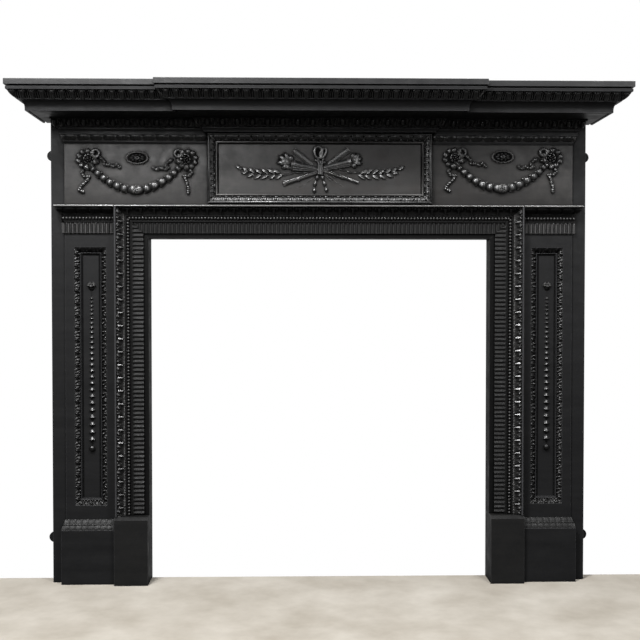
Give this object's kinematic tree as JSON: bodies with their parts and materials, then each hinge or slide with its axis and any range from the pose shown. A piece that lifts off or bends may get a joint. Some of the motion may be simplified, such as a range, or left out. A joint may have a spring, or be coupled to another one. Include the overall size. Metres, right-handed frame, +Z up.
{
  "type": "fireplace surround",
  "caption": "Cast iron fireplace surround with moulded shelf, swagged frieze, trophy tablet, enriched architrave, panelled pilasters and plinths, open-backed, standing on the hearth.",
  "frame": {"origin": "bottom centre of the bounding box: on the hearth, midway across, midway between the wall plane and the shelf's front", "axes": "+X across the width to the viewer's right, +Y back into the wall, +Z up"},
  "size_m": [1.652, 0.255, 1.37],
  "materials": {
    "black_iron": "cast iron, blackened with graphite polish, satin",
    "relief_iron": "cast ornament, blackened, rubbed brighter on the high points",
    "panel_iron": "frieze and tablet plates, blackened and rubbed to a soft sheen",
    "shelf_iron": "cast shelf, blackened and polished by handling",
    "raw_iron": "rough unpolished back casting with light rust",
    "fixing_steel": "dull steel studs and nuts"
  },
  "bodies": {
    "root": {"mantel_shelf": "shelf_iron", "cornice_moulding": "black_iron", "cornice_tongues": "relief_iron", "soffit_plate": "black_iron", "shelf_ribs": "raw_iron", "frieze_plate": "panel_iron", "bed_mould_left": "black_iron", "bed_mould_centre": "black_iron", "bed_mould_right": "black_iron", "egg_and_dart_left": "relief_iron", "egg_and_dart_centre": "relief_iron", "egg_and_dart_right": "relief_iron", "frieze_leaf_left": "relief_iron", "frieze_leaf_right": "relief_iron", "swag_left": "relief_iron", "swag_right": "relief_iron", "patera_left": "relief_iron", "patera_right": "relief_iron", "tablet_panel": "panel_iron", "tablet_frame": "relief_iron", "trophy": "relief_iron", "laurel_left": "relief_iron", "laurel_right": "relief_iron", "architrave_head": "black_iron", "architrave_jamb_left": "black_iron", "architrave_jamb_right": "black_iron", "leaf_strip_head": "relief_iron", "leaf_strip_left": "relief_iron", "leaf_strip_right": "relief_iron", "bead_row_head": "relief_iron", "bead_row_left": "relief_iron", "bead_row_right": "relief_iron", "flute_strip_head": "relief_iron", "flute_strip_left": "relief_iron", "flute_strip_right": "relief_iron", "pilaster_left": "black_iron", "pilaster_right": "black_iron", "pilaster_cap_left": "relief_iron", "pilaster_cap_right": "relief_iron", "sunk_panel_left": "black_iron", "sunk_panel_right": "black_iron", "panel_frame_left": "relief_iron", "panel_frame_right": "relief_iron", "husk_drop_left": "relief_iron", "husk_drop_right": "relief_iron", "side_strip_left": "black_iron", "side_strip_right": "black_iron", "plinth_block_left": "black_iron", "plinth_block_right": "black_iron", "plinth_moulding_left": "relief_iron", "plinth_moulding_right": "relief_iron", "inner_block_left": "black_iron", "inner_block_right": "black_iron", "jamb_straps": "raw_iron", "head_strap": "raw_iron", "joint_studs": "fixing_steel", "joint_nuts": "fixing_steel", "wall_lugs": "black_iron"}
  },
  "joints": []
}
